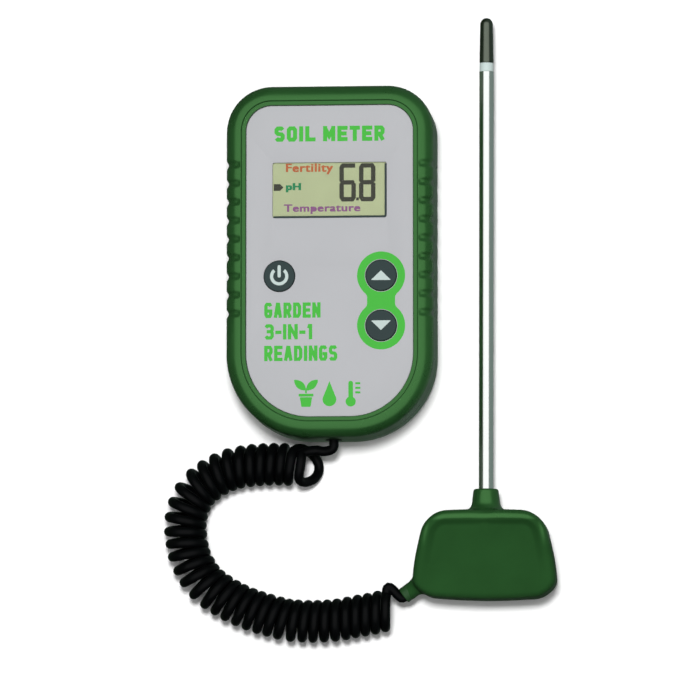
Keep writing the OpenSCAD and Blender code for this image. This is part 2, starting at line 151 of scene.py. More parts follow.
# ---- materials
def add(tree, kind, inputs=(), **settings):
    """New shader node. An input given as a socket is linked, and anything else is its value."""
    made = tree.nodes.new("ShaderNode" + kind)
    for key, value in settings.items():
        setattr(made, key, value)
    for key, value in dict(inputs).items():
        if isinstance(value, bpy.types.NodeSocket):
            tree.links.new(value, made.inputs[key])
        else:
            made.inputs[key].default_value = value
    return made


noise_range = 0.3, 0.7


def noise(tree, scale, detail, stretch, rough=0.5):
    """Noise in the object's own space, with scale in features per metre"""
    place = add(tree, "TexCoord").outputs["Object"]
    place = add(tree, "Mapping", {"Vector": place, "Scale": stretch}).outputs["Vector"]
    return add(tree, "TexNoise", {"Vector": place, "Scale": scale, "Detail": detail,
                                  "Roughness": rough}).outputs["Fac"]


def mapped(tree, value, low, high, to_low=0.0, to_high=1.0, **settings):
    """A value's range from low to high turned into another range"""
    return add(tree, "MapRange", {"Value": value, "From Min": low, "From Max": high, "To Min": to_low,
                                  "To Max": to_high}, **settings).outputs["Result"]


def socket(surface, key):
    """Input of a shader by its name in lower case with underscores"""
    return surface.inputs[key.replace("_", " ").title().replace("Ior", "IOR")]


def material(name, colour, rough, spread=0.08, patch=60, grain=2500, depth=0.02, rough_spread=0.06,
             stretch=(1, 1, 1), **sockets):
    """Surface with slow changes of colour and roughness, and a fine grain in its bump.
    patch and grain are features per metre, depth is the grain's height in millimetres."""
    made = bpy.data.materials.new(name)
    made.use_nodes = True
    tree = made.node_tree
    surface = tree.nodes["Principled BSDF"]
    slow = noise(tree, patch, 4, stretch)
    tints = add(tree, "ValToRGB", {"Fac": slow})
    for stop, place, factor in zip(tints.color_ramp.elements, noise_range, (1 - spread, 1 + spread)):
        stop.position = place
        stop.color = (*(min(1, c * factor) for c in colour), 1)
    tree.links.new(tints.outputs["Color"], surface.inputs["Base Color"])
    fine = noise(tree, grain, 2, stretch, 0.6)
    roughness = mapped(tree, slow, *noise_range, rough - rough_spread, rough + rough_spread)
    tree.links.new(roughness, surface.inputs["Roughness"])
    bump = add(tree, "Bump", {"Height": fine, "Distance": depth * MM, "Strength": 1.0})
    tree.links.new(bump.outputs["Normal"], surface.inputs["Normal"])
    for key, value in sockets.items():
        socket(surface, key).default_value = value
    return made


def printed(name, colour, spread=0.05, **detail):
    """Flat print or plate, which hardly shines"""
    return material(name, colour, 0.5, spread, specular_ior_level=0.12, **detail)


GREEN = (0.011, 0.046, 0.0115)
housing = material("housing", GREEN, 0.30, spread=0.10, grain=3200, depth=0.010, ior=1.6,
                   specular_ior_level=0.85, specular_tint=(0.37, 1, 0.33, 1))


def half_matte(look, name, **sockets):
    """Copy of a look whose sockets go to other values where the mesh's attribute matte is 1"""
    made = look.copy()
    made.name = name
    tree = made.node_tree
    fac = add(tree, "Attribute", attribute_name="matte").outputs["Fac"]
    for key, value in sockets.items():
        end = socket(tree.nodes["Principled BSDF"], key)
        usual = end.links[0].from_socket if end.is_linked else end.default_value
        blend = add(tree, "Mix", {"Factor": fac, "A": usual, "B": value}, data_type="FLOAT")
        tree.links.new(blend.outputs["Result"], end)
    return made


housing_head = half_matte(housing, "housing_head", roughness=0.6, specular_ior_level=0.12)
housing_matte = material("housing_matte", GREEN, 0.5, spread=0.10, grain=3200, depth=0.010,
                         specular_ior_level=0.3)
plate_grey = printed("plate_grey", (0.375, 0.38, 0.395), 0.012, grain=5000, depth=0.004)
print_green = printed("print_green", (0.052, 0.37, 0.042), 0.03, grain=4000, depth=0.004)
print_pale = printed("print_pale", (0.43, 0.51, 0.49), 0.03, grain=4000, depth=0.004)
button_rubber = material("button_rubber", (0.020, 0.034, 0.034), 0.5, spread=0.06, grain=3500, depth=0.01,
                         specular_ior_level=0.2)
lcd_ground = printed("lcd_ground", (0.325, 0.365, 0.205), 0.03, patch=120, grain=6000, depth=0.003)
lcd_dark = printed("lcd_dark", (0.018, 0.018, 0.010))
lcd_orange = printed("lcd_orange", (0.33, 0.075, 0.018))
lcd_green = printed("lcd_green", (0.002, 0.155, 0.052))
lcd_purple = printed("lcd_purple", (0.17, 0.058, 0.155))
lens_clear = material("lens_clear", (0.8, 0.85, 0.8), 0.08, spread=0.01, grain=900, depth=0.001,
                      rough_spread=0.02, alpha=0.015)
# Near-black look of the painted shade strip at the window's right and lower edges
painted_shade_dark = material("painted_shade_dark", (0.012, 0.022, 0.022), 0.55, spread=0.1)
cord_black = material("cord_black", (0.0012, 0.0014, 0.0016), 0.34, spread=0.2, patch=150, grain=2200,
                      depth=0.010, specular_ior_level=0.07)
rod_chrome = material("rod_chrome", (0.80, 0.83, 0.81), 0.18, spread=0.03, patch=40, grain=2600, depth=0.0006,
                      rough_spread=0.03, stretch=(1, 0.02, 1), metallic=1.0)
ring_pale = material("ring_pale", (0.46, 0.55, 0.53), 0.35, spread=0.04, grain=2000, depth=0.01)
tip_dark = material("tip_dark", (0.125, 0.145, 0.115), 0.26, spread=0.15, patch=200, grain=2600, depth=0.002,
                    stretch=(1, 0.1, 1), metallic=1.0)
screw_steel = material("screw_steel", (0.55, 0.55, 0.55), 0.3, spread=0.06, patch=300, grain=3000,
                       depth=0.004, metallic=1.0)
brass = material("brass", (0.62, 0.42, 0.15), 0.3, spread=0.06, patch=200, grain=2500, depth=0.003,
                 metallic=1.0)
white_plastic = material("white_plastic", (0.72, 0.72, 0.69), 0.4, spread=0.03)
strip_rubber = material("strip_rubber", (0.45, 0.14, 0.22), 0.6, spread=0.05, patch=2000)
board_green = material("board_green", (0.015, 0.14, 0.055), 0.3, spread=0.1, patch=300)
chip_black = material("chip_black", (0.015, 0.015, 0.017), 0.45, spread=0.1)
component_tan = material("component_tan", (0.30, 0.23, 0.14), 0.45, spread=0.2, patch=900)
cell_wrap = material("cell_wrap", (0.42, 0.30, 0.07), 0.25, spread=0.06, patch=80, metallic=0.6)
wire_red = material("wire_red", (0.40, 0.03, 0.025), 0.4, spread=0.08)


# ---- mesh building
sharp_angle = radians(35)


def rounded(corners, steps=8, closed=True, fill=()):
    """Line through the corners (x, y, radius), each rounded to its radius by an arc of that many steps.
    fill gives how many more points follow each corner, along the side to the next one."""
    arcs, n = [], len(corners)
    for i, (x, y, r) in enumerate(corners):
        if r <= 0 or (not closed and i in (0, n - 1)):
            arcs.append([(x, y)])
            continue
        here = Vector((x, y))
        before = (Vector(corners[i - 1][:2]) - here).normalized()
        after = (Vector(corners[(i + 1) % n][:2]) - here).normalized()
        half = before.angle(after) / 2
        centre = here + (before + after).normalized() * (r / sin(half))
        start = here + before * (r / tan(half)) - centre
        turn = (pi - 2 * half) * (-1 if before.cross(after) > 0 else 1)
        waves = [(cos(turn * k / steps), sin(turn * k / steps)) for k in range(steps + 1)]
        arcs.append([(centre.x + start.x * c - start.y * s, centre.y + start.x * s + start.y * c)
                     for c, s in waves])
    points = []
    for k, arc in enumerate(arcs):
        more = fill[k] if fill else 0
        a, b = Vector(arc[-1]), Vector(arcs[(k + 1) % n][0])
        points += arc + [tuple(a.lerp(b, (j + 1) / (more + 1))) for j in range(more)]
    return points


def drawn_in(corners, inset, least=0.1):
    """The same closed outline, anticlockwise, with its sides moved in (or out, if inset is below 0)"""
    moved, n = [], len(corners)
    for i, (x, y, r) in enumerate(corners):
        here = Vector((x, y))
        a = (here - Vector(corners[i - 1][:2])).normalized()
        b = (Vector(corners[(i + 1) % n][:2]) - here).normalized()
        na, nb = Vector((-a.y, a.x)), Vector((-b.y, b.x))
        p = here + (na + nb) * (inset / (1 + na.dot(nb)))
        moved.append((p.x, p.y, max(r - inset, least) if r > 0 else 0))
    return moved


def rectangle(x0, x1, y0, y1, r=0.3):
    return [(x1, y0, r), (x1, y1, r), (x0, y1, r), (x0, y0, r)]


def circle(x, y, r):
    return rectangle(x - r, x + r, y - r, y + r, r)


class Shape:
    """Closed mesh in millimetres, built ring by ring"""

    def __init__(self):
        self.points, self.faces, self.flat = [], [], set()

    def ring(self, points, z=None):
        start = len(self.points)
        self.points += [tuple(p) if z is None else (p[0], p[1], z) for p in points]
        return list(range(start, len(self.points)))

    def bridge(self, a, b):
        """Faces between two rings, or between a ring and a single point"""
        n = max(len(a), len(b))
        if min(len(a), len(b)) == 1:
            tip, ring = (a[0], b) if len(a) == 1 else (b[0], a)
            self.faces += [(tip, ring[i], ring[(i + 1) % n]) for i in range(n)]
        else:
            self.faces += [(a[i], a[(i + 1) % n], b[(i + 1) % n], b[i]) for i in range(n)]

    def loft(self, rows, closed=False):
        """Rings joined one after another, each given as (points, z)"""
        rings = [self.ring(*row) for row in rows]
        for a, b in zip(rings, rings[1:] + rings[:1] if closed else rings[1:]):
            self.bridge(a, b)
        return rings

    def solid(self, rows):
        """Lofted rings with a flat face at each end"""
        rings = self.loft(rows)
        self.cap(rings[0])
        self.cap(rings[-1])
        return self

    def cap(self, *rings):
        """Flat face between rings at one height: it lies inside an odd number of them"""
        ids, edges = [], []
        for ring in rings:
            start = len(ids)
            ids += ring
            edges += [(start + k, start + (k + 1) % len(ring)) for k in range(len(ring))]
        flat = [Vector(self.points[i][:2]) for i in ids]
        verts, _, triangles, origin, _, _ = delaunay_2d_cdt(flat, edges, [], 0, 1e-7)
        sides = np.array([[*flat[a], *flat[b]] for a, b in edges])
        middles = np.array([sum((verts[k] for k in t), Vector((0, 0))) / 3 for t in triangles])
        x, y = middles[:, :1], middles[:, 1:]
        x0, y0, x1, y1 = sides.T
        rise = np.where(y1 == y0, 1, y1 - y0)
        crossed = ((y0 > y) != (y1 > y)) & (x < x0 + (y - y0) * (x1 - x0) / rise)
        for triangle, count in zip(triangles, crossed.sum(1)):
            if count % 2:
                self.flat.add(len(self.faces))
                self.faces.append(tuple(ids[origin[k][0]] for k in triangle))

    def mesh(self, name):
        made = bpy.data.meshes.new(name)
        made.from_pydata([Vector(p) * MM for p in self.points], [], self.faces)
        work = bmesh.new()
        work.from_mesh(made)
        for i, face in enumerate(work.faces):
            face.smooth = i not in self.flat
        bmesh.ops.remove_doubles(work, verts=work.verts, dist=1e-7)
        bmesh.ops.recalc_face_normals(work, faces=work.faces)
        work.to_mesh(made)
        work.free()
        made.set_sharp_from_angle(angle=sharp_angle)
        return made


def slab(outlines, z0, z1, holes=()):
    """Thin printed shapes with square edges: everything inside the outlines, less the holes.
    Outlines may overlap each other."""
    shape = Shape()
    points, faces = [], []
    for loop in [*outlines, *holes]:
        if sum(a[0] * b[1] - b[0] * a[1] for a, b in zip(loop, [*loop[1:], loop[0]])) < 0:
            loop = loop[::-1]
        faces.append(list(range(len(points), len(points) + len(loop))))
        points += [Vector(p) for p in loop]
    verts, _, triangles, _, _, source = delaunay_2d_cdt(points, [], faces, 1, 1e-6)
    triangles = [t for t, where in zip(triangles, source)
                 if where and not any(k >= len(outlines) for k in where)]
    low = shape.ring(verts, z0)
    high = shape.ring(verts, z1)
    edges = dict.fromkeys(edge for a, b, c in triangles for edge in ((a, b), (b, c), (c, a)))
    shape.faces += [(low[c], low[b], low[a]) for a, b, c in triangles]
    shape.faces += [(high[a], high[b], high[c]) for a, b, c in triangles]
    shape.faces += [(low[a], low[b], high[b], high[a]) for a, b in edges if (b, a) not in edges]
    shape.flat = set(range(len(shape.faces)))
    return shape


def column(outline, rim, steps=8):
    """Closed solid whose outline is drawn in by each row (inset, z) of the rim"""
    return Shape().solid([(rounded(drawn_in(outline, inset), steps), z) for inset, z in rim])


def screw_hole(x, y, depth):
    """Cutter for a screw's recess in a lower face, with a softened edge"""
    return column(circle(x, y, 2.5), [(-0.6, -0.5), (-0.35, 0), (0, 0.35), (0, depth)])


def round_ring(middle, a, b, r, sides):
    """Circle in the plane of the directions a and b"""
    turns = [2 * pi * k / sides for k in range(sides)]
    return [middle + (a * cos(turn) + b * sin(turn)) * r for turn in turns]


def turned(profile, origin, way, sides):
    """Solid turned about an axis, from a profile of (radius, height) that starts and ends on the axis"""
    way = Vector(way).normalized()
    a = way.orthogonal().normalized()
    b = way.cross(a)
    shape = Shape()
    rings = []
    for r, h in profile:
        middle = Vector(origin) + way * h
        rings.append(shape.ring([middle] if r < 1e-6 else round_ring(middle, a, b, r, sides)))
    for low, high in zip(rings, rings[1:]):
        shape.bridge(low, high)
    return shape


def tube(route, r, sides):
    """Round closed tube along a route, with frames that don't twist"""
    route = [Vector(p) for p in route]
    ways = [(b - a).normalized() for a, b in zip([route[0]] + route[:-1], route[1:] + [route[-1]])]
    shape, normal = Shape(), ways[0].orthogonal().normalized()
    rings = []
    for p, way in zip(route, ways):
        normal = (normal - way * normal.dot(way)).normalized()
        rings.append(shape.ring(round_ring(p, normal, way.cross(normal), r, sides)))
    for a, b in zip(rings, rings[1:]):
        shape.bridge(a, b)
    for end in (0, -1):
        shape.bridge(shape.ring([route[end]]), rings[end])
    return shape


def combined(mesh, others, operation):
    """The mesh with other shapes joined on (UNION), cut away (DIFFERENCE) or kept (INTERSECT)"""
    base = placed("base", mesh)
    tools = [placed("tool", other.mesh("tool")) for other in others]
    for tool in tools:
        step = base.modifiers.new("step", "BOOLEAN")
        step.object, step.operation, step.solver = tool, operation, "EXACT"
    result = applied(base)
    for tool in tools:
        bpy.data.objects.remove(tool)
    result.set_sharp_from_angle(angle=sharp_angle)
    return result


def piece(name, mesh, body, look, slot, *nodes):
    """Puts a mesh in the scene as a piece that rides on a body and stands for CAD nodes"""
    mesh = mesh.mesh(name) if isinstance(mesh, Shape) else mesh
    mesh.materials.clear()
    mesh.materials.append(look)
    made = placed(name, mesh)
    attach(made, body)
    if nodes:
        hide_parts(*nodes)
    return made


def ramp(value, low, high):
    t = np.clip((value - low) / (high - low), 0, 1)
    return t * t * (3 - 2 * t)


# ---- cord
def smooth(points, step):
    """Catmull-Rom curve through the points, as an array with points about a step apart"""
    p = np.array(points, float)
    p = np.vstack([2 * p[0] - p[1], p, 2 * p[-1] - p[-2]])
    curve = []
    for a, b, c, d in zip(p, p[1:], p[2:], p[3:]):
        n = max(1, ceil(np.linalg.norm(c - b) / step))
        t = (np.arange(n) / n)[:, None]
        curve.append(0.5 * (2 * b + (c - a) * t + (2 * a - 5 * b + 4 * c - d) * t ** 2
                            + (3 * b - a - 3 * c + d) * t ** 3))
    return np.vstack([*curve, p[-2:-1]])


def distances(points):
    return np.concatenate([[0], np.cumsum(np.linalg.norm(np.diff(points, axis=0), axis=1))])


def helix():
    """Turns that lie packed against each other on the inner side of each bend of the coil's route"""
    turns, start, per_turn = 37.361, radians(160), 26
    first_s, open_by, open_from, open_to = 5.7, 7.5, 0.32, 1.08
    last_lean, lean_from, lean_full = 0.08, 26, 10
    r = (coil_d - cord_d) / 2
    line = smooth(coil_route, 0.25)
    s = distances(line)
    way = np.gradient(line, s, axis=0)
    way /= np.linalg.norm(way, axis=1)[:, None]
    bend = np.abs(way[:, 0] * np.gradient(way[:, 1], s) - way[:, 1] * np.gradient(way[:, 0], s))
    bend = np.convolve(np.pad(bend, 20, "edge"), np.ones(41) / 41, "valid")
    density = 1 / (1 + r * bend)
    count = np.concatenate([[0], np.cumsum((density[1:] + density[:-1]) / 2 * np.diff(s))])
    first = np.interp(first_s, s, count)
    count = (count - first) / (count[-1] - first) * turns
    lean = ramp(s, s[-1] - lean_from, s[-1] - lean_full)
    angle = np.unwrap(np.arctan2(way[:, 1], way[:, 0]))
    angle += lean * (last_lean + 2 * pi * round(angle[-1] / (2 * pi)) - angle)
    points = []
    for k in range(1, ceil(turns * per_turn)):
        n = min(k / per_turn, turns)
        opened = sin(pi * min(max((n - open_from) / (open_to - open_from), 0), 1)) ** 2
        at = np.interp(n, count, s) - open_by * opened
        x, y = (np.interp(at, s, line[:, j]) if at >= 0 else line[0, j] + way[0, j] * at for j in (0, 1))
        wx, wy = cos(np.interp(at, s, angle)), sin(np.interp(at, s, angle))
        turn = start - 2 * pi * n
        points.append((x - wy * r * cos(turn), y + wx * r * cos(turn), coil_z + r * sin(turn)))
    return points


def make_cord():
    turns, sides, step = helix(), 14, 0.7
    lead_in = smooth([*meter_lead_route, turns[1], turns[3]], step)[:-1]
    lead_out = smooth([turns[-3], turns[-1], *probe_lead_route], step)
    skip = int(np.argmin(np.linalg.norm(lead_out - np.array(turns[-1]), axis=1)))
    route = [*map(tuple, lead_in), *turns[4:-1], *map(tuple, lead_out[skip:])]
    made = placed("curly_cord_helix", tube(route, cord_d / 2, sides).mesh("curly_cord_helix"))
    made.data.materials.append(cord_black)
    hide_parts("cord_lead_meter", "curly_cord", "cord_lead_probe")
    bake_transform(made)


make_camera()
make_cord()


# ---- meter housing
def grooved(points, inset, z):
    """Ring of the housing at one height, dented by the grip grooves"""
    ring = np.array([(x, y, z) for x, y in points])
    first, last = groove_top_y + groove_step / 2, groove_top_y - (groove_count - 0.5) * groove_step
    off = np.abs((ring[:, 1] - last) % groove_step - groove_step / 2)
    dent = groove_depth * (1 - ramp(off, 0.1, groove_w / 2)) * ((ring[:, 1] > last) & (ring[:, 1] < first))
    dent *= ramp(z, 1, part_z) * (1 - 0.9 * ramp(inset, front_round - 0.6, front_round + 0.6))
    out, up = max(front_round - inset, 0), max(z - (top_z - front_round), 0)
    size = hypot(out, up)
    ring[:, 0] -= np.sign(ring[:, 0]) * dent * out / size if size else 0
    ring[:, 2] -= dent * up / size if size else 0
    return ring


def case_ring(inset):
    """Outline of the housing with close points along its grooved sides"""
    return rounded(drawn_in(meter_corners, inset), 24, fill=(200, 0, 200, 0))


def front_case():
    """Upper housing half, with a step round its upper edge and a ledge for the faceplate"""
    step_inset, step_z, rim_z = 5.6, top_z - 0.8, 22.2
    outer = rounded([(0.25, part_z, 0), (0, part_z + 0.25, 0), (0, top_z, front_round),
                     (step_inset, top_z, 0.35), (step_inset + 0.1, step_z, 0.25),
                     (plate_inset - 0.1, step_z, 0.25), (plate_inset - 0.1, ledge_z, 0)], 8, closed=False)
    inner = rounded([(plate_inset + 2, ledge_z, 0), (plate_inset + 2, rim_z, 0), (wall, rim_z, 0.8),
                     (wall, part_z, 0)], 4, closed=False)
    shape = Shape()
    rows = [(grooved(case_ring(inset), inset, z),) for inset, z in outer]
    shape.loft(rows + [(case_ring(inset), z) for inset, z in inner], closed=True)
    return shape


def rear_case():
    """Lower housing half with its battery bay, latch and screw posts"""
    rim = rounded([(0.25, part_z, 0), (0, part_z - 0.25, 0), (0, 0, back_round), (back_round + 0.5, 0, 0)],
                  10, closed=False)
    shell = Shape().solid([(grooved(case_ring(inset), inset, z),) for inset, z in rim]).mesh("rear_case")
    inside = rounded([(wall, part_z + 2, 0), (wall, floor_t, 2), (wall + 3, floor_t, 0)], 4, closed=False)
    shell = combined(shell, [column(meter_corners, inside, 24)], "DIFFERENCE")
    bay_w, bay_low_y, bay_top_y = 6.2, -54.5, -5
    post_r, pilot_r, pilot_z, recess = 3.5, 1.3, 8, 9
    latch_y = door_low.y - 0.2
    added = [column(circle(x, y, post_r), [(0, 1), (0, part_z)]) for x, y in case_screws]
    added += [column(rectangle(-9.6, 9.6, bay_low_y - 1.2, bay_top_y + 3.4), [(0, 1), (0, part_z + 1.3)]),
              column(rectangle(-7, 7, latch_y - 1.5, latch_y + 3.5), [(0, 1), (0, 7)])]
    shell = combined(shell, added, "UNION")
    door_rim = [(-0.5, -0.5), (-0.25, 0), (0, 0.25), (0, floor_t)]
    cut = [screw_hole(x, y, recess) for x, y in case_screws]
    cut += [column(circle(x, y, pilot_r), [(0, pilot_z), (0, part_z + 1)]) for x, y in case_screws]
    cut += [column(rectangle(-8.2, 8.2, latch_y, bay_top_y + 0.2, 0.8), door_rim),
            column(rectangle(-bay_w, bay_w, bay_low_y, bay_top_y, 0.5), [(0, 1), (0, part_z + 0.1)]),
            column(rectangle(-4, 4, latch_y, latch_y + 1.9, 0.2), [(0, 1), (0, floor_t + 4.2)])]
    cut += [column(rectangle(x - 1.3, x + 1.3, bay_top_y - 1, bay_top_y + 2.4, 0.2), [(0, 1), (0, 4.4)])
            for x in door_hooks]
    return combined(shell, cut, "DIFFERENCE")


def battery_door():
    """Door with a round upper edge, two hooks, a latch tongue and grip ridges"""
    rim = [(0.3, 0), (0.08, 0.08), (0, 0.3), (0, floor_t - 0.2), (0.2, floor_t)]
    outline = rectangle(door_low.x, door_high.x, door_low.y, hinge_y, 0.7)
    door = column(outline, rim).mesh("door")
    hinge_r, hinge_w, grip_count, grip_step = floor_t / 2, 16, 4, 2.2
    edge = turned([(0, 0), (hinge_r - 0.2, 0), (hinge_r, 0.2), (hinge_r, hinge_w - 0.2),
                   (hinge_r - 0.2, hinge_w), (0, hinge_w)],
                  (door_low.x, hinge_y - 0.02, hinge_r), (1, 0, 0), 40)
    hooks = [column(rectangle(x - 1, x + 1, hinge_y - 2, door_high.y, 0.2), [(0, 1.2), (0, 2.4)])
             for x in door_hooks]
    tongue = column(rectangle(-3.5, 3.5, door_low.y + 0.4, door_low.y + 1.3, 0.2),
                    [(0, 1), (0, 5), (0.2, 5.4)])
    door = combined(door, [edge, *hooks, tongue], "UNION")
    grips = [column(rectangle(-5, 5, y, y + 1.1, 0.5), [(-0.3, -0.2), (0, 0.1), (0.15, 0.55)])
             for y in (door_low.y + 4 + grip_step * i for i in range(grip_count))]
    return combined(door, grips, "DIFFERENCE")


def face_piece():
    """Faceplate with its window, the pocket behind the window and three button holes"""
    shape = Shape()
    edge = 0.25
    rim = [(edge, ledge_z), (0, ledge_z + edge), (0, face_z - edge), (0.3 * edge, face_z - 0.3 * edge),
           (edge, face_z)]
    outline = drawn_in(meter_corners, plate_inset)
    walls = [shape.loft([(rounded(drawn_in(outline, inset), 24), z) for inset, z in rim])]
    upper_rim = [(0, face_z - 0.15), (0.05, face_z - 0.05), (0.15, face_z)]
    hole_rim = [(0.1, ledge_z), (0, ledge_z + 0.1), *upper_rim]
    for place in button_places.values():
        hole = circle(place.x, place.y, button_hole_r)
        walls.append(shape.loft([(rounded(drawn_in(hole, -inset), 14), z) for inset, z in hole_rim]))
    pocket = rectangle(window_x0 - 2.8, window_x1 + 2.8, window_y0 - 3.3, window_y1 + 3.3, 0.5)
    window = rectangle(window_x0, window_x1, window_y0, window_y1, 0.8)
    back_z = face_z - window_rim_t
    deep = shape.loft([(rounded(pocket), z) for z in (ledge_z, back_z)])
    opening = shape.loft([(rounded(drawn_in(window, -inset)), z) for inset, z in [(0, back_z), *upper_rim]])
    shape.cap(deep[1], opening[0])
    shape.cap(*[rings[0] for rings in walls], deep[0])
    shape.cap(*[rings[-1] for rings in walls], opening[-1])
    return shape


piece("front_case", front_case(), "meter", housing, "housing", "front_shell")
piece("rear_case", rear_case(), "meter", housing, "housing", "rear_shell")
piece("battery_door_panel", battery_door(), "battery_door", housing, "housing", "battery_door")
piece("face_panel", face_piece(), "meter", plate_grey, "faceplate", "faceplate")


# ---- prints on the faceplate
print_low, print_high = face_z - 0.02, face_z + 0.05


def paths_of(table):
    """Strokes of each character, from points x,y in a box of 1 by 1, with / between strokes"""
    return {name: [[tuple(map(float, p.split(","))) for p in path.split()] for path in text.split("/")]
            for name, text in table.items()}


STROKES = paths_of({
    "A": "-.03,-.12 .4,1 .6,1 1.03,-.12 / .2,.28 .8,.28",
    "D": "0,0 .7,0 1,.2 1,.8 .7,1 0,1 0,0",
    "E": "1,1 0,1 0,0 1,0 / 0,.5 .85,.5",
    "G": "1,.84 .8,1 .2,1 0,.86 0,.14 .2,0 .8,0 1,.14 1,.44 .7,.44",
    "I": "0,0 0,1",
    "L": "0,1 0,0 1,0",
    "M": "0,0 0,1 / 0,1 .5,.3 1,1 / 1,1 1,0",
    "N": "0,0 0,1 / 0,1 1,0 / 1,0 1,1",
    "O": ".5,0 .8,0 1,.14 1,.86 .8,1 .2,1 0,.86 0,.14 .2,0 .5,0",
    "R": "0,0 0,1 .8,1 1,.86 1,.6 .8,.46 0,.46 / .5,.46 1.06,-.12",
    "S": "1,.86 .8,1 .2,1 0,.87 0,.64 .2,.52 .8,.48 1,.36 1,.13 .8,0 .2,0 0,.14",
    "T": "0,1 1,1 / .5,0 .5,1",
    "3": "0,.86 .2,1 .8,1 1,.87 1,.64 .85,.52 1,.4 1,.13 .8,0 .2,0 0,.14 / .4,.52 .85,.52",
    "1": "0,.78 .45,1 1,1 1,0",
    "-": "0,.46 1,.46",
})
WIDTHS = {"I": 0, "M": 1.3, "N": 1.05, "1": 0.3, "-": 0.45, " ": 0.55}


def stroke(path, width):
    """Outline of a line of that width, mitred at its corners, with upright and level ends squared off"""
    path = [Vector(p) for p in path]
    loop = (path[0] - path[-1]).length < 1e-6
    ways = [(b - a).normalized() for a, b in zip(path, path[1:])]
    if not loop:
        path[0] = path[0] - ways[0] * (width / 2 * (abs(ways[0].x * ways[0].y) < 0.01))
        path[-1] = path[-1] + ways[-1] * (width / 2 * (abs(ways[-1].x * ways[-1].y) < 0.01))
    sides = [[], []]
    for i, p in enumerate(path):
        before = ways[i - 1] if i or loop else ways[0]
        after = ways[i] if i < len(ways) else (ways[0] if loop else ways[-1])
        na, nb = Vector((-before.y, before.x)), Vector((-after.y, after.x))
        off = (na + nb) * (width / 2 / (1 + na.dot(nb)))
        off *= min(1, 1.2 * width / off.length)
        sides[0].append(tuple(p + off))
        sides[1].append(tuple(p - off))
    return [[sides[0][i], sides[0][i + 1], sides[1][i + 1], sides[1][i]] for i in range(len(path) - 1)]


def label(words, x0, x1, y0, y1, weight, gap):
    """Print of plain block capitals that fill the box"""
    share = sum(WIDTHS.get(c, 1) for c in words)
    marks = sum(c != " " for c in words)
    unit = (x1 - x0 - gap * (len(words) - 1) - weight * marks) / share
    outlines, x = [], x0
    for c in words:
        w = unit * WIDTHS.get(c, 1)
        for path in STROKES.get(c, []):
            outlines += stroke([(x + weight / 2 + px * w, y0 + weight / 2 + py * (y1 - y0 - weight))
                                for px, py in path], weight)
        x += w + gap + (weight if c != " " else 0)
    return slab(outlines, print_low, print_high)


def lettering(words, place, z0, z1, weight):
    """Words in the built-in typeface, filling the box and made heavier by shifted copies"""
    data = bpy.data.curves.new("words", "FONT")
    data.body, data.space_character, data.resolution_u = words, 1.08, 5
    made = applied(placed("words", data))
    co = np.array([v.co[:2] for v in made.vertices], float)
    low, high = co.min(0), co.max(0)
    x0, x1, y0, y1 = place
    size = np.array([x1 - x0 - weight, y1 - y0 - weight / 2])
    co = np.array([x0 + weight / 2, y0 + weight / 4]) + (co - low) / (high - low) * size
    outlines = []
    for dx, dy in ((-0.5, -0.25), (0.5, -0.25), (0.5, 0.25), (-0.5, 0.25), (0, 0)):
        outlines += [[tuple(co[v] + (dx * weight, dy * weight)) for v in face.vertices]
                     for face in made.polygons]
    return slab(outlines, z0, z1)


def surround():
    """Band round both arrow buttons, with a waist between them"""
    up, down = button_places["up"], button_places["down"]
    band_r, neck_w, fillet_r, steps = 8.6, 5.0, 2.2, 10
    middle_y, half = (up.y + down.y) / 2, (up.y - down.y) / 2
    reach = sqrt((band_r + fillet_r) ** 2 - (neck_w + fillet_r) ** 2)
    lean = np.arctan2(reach, neck_w + fillet_r)
    quarter = [(band_r * cos(a), half + band_r * sin(a)) for a in np.linspace(pi / 2, -lean, 30)]
    quarter += [(neck_w + fillet_r - fillet_r * cos(a), half - reach + fillet_r * sin(a))
                for a in np.linspace(lean, 0, steps)[1:]]
    right = quarter + [(x, -y) for x, y in reversed(quarter)]
    loop = right + [(-x, y) for x, y in reversed(right)][1:-1]
    loop = [(up.x + x, middle_y + y) for x, y in loop]
    holes = [rounded(circle(p.x, p.y, button_hole_r + 0.2), 14) for p in (up, down)]
    return slab([loop], print_low, print_high, holes)


def sprout():
    """Generic sprout: a stem with two leaves, standing in a pot, about 1 high"""
    tip_x, tip_y, bulge, steps = 0.52, 0.46, 0.238, 12

    def leaf(side):
        out = []
        for sign, start, end in ((1, 0, 1), (-1, 1, 0)):
            for t in np.linspace(start, end, steps):
                across = sign * side * bulge * sin(pi * t) ** 0.8
                out.append((side * tip_x * t - tip_y * across, 0.1 + tip_y * t + side * tip_x * across))
        return out[:-1]

    pot = rounded([(0.2, -0.62, 0.04), (0.27, -0.2, 0.03), (-0.27, -0.2, 0.03), (-0.2, -0.62, 0.04)], 3)
    lip = rounded(rectangle(-0.32, 0.32, -0.17, -0.05, 0.02), 3)
    stem = rounded([(0.035, -0.03, 0), (0.035, 0.12, 0.01), (-0.035, 0.12, 0.01), (-0.035, -0.03, 0)], 2)
    return [pot, lip, stem, leaf(1), leaf(-1)]


def droplet():
    """Generic water drop, about 1 high"""
    turn = np.linspace(radians(-215), radians(35), 24)
    return [[(0.3 * cos(a), 0.3 * sin(a) - 0.3) for a in turn] + [(0, 0.5)]]


def thermometer(x, y, size):
    """Generic thermometer with marks beside it, in millimetres"""
    bulb = rounded(circle(x, y - 0.4 * size, 0.22 * size), 8)
    stem = rectangle(x - 0.1 * size, x + 0.1 * size, y - 0.4 * size, y + 0.5 * size, 0.09 * size)
    marks = [rectangle(x + 0.2 * size, x + 0.42 * size, y + k * size, y + (k + 0.09) * size, 0.02)
             for k in (-0.05, 0.15, 0.35)]
    return [bulb, rounded(stem, 6), *(rounded(mark, 2) for mark in marks)]


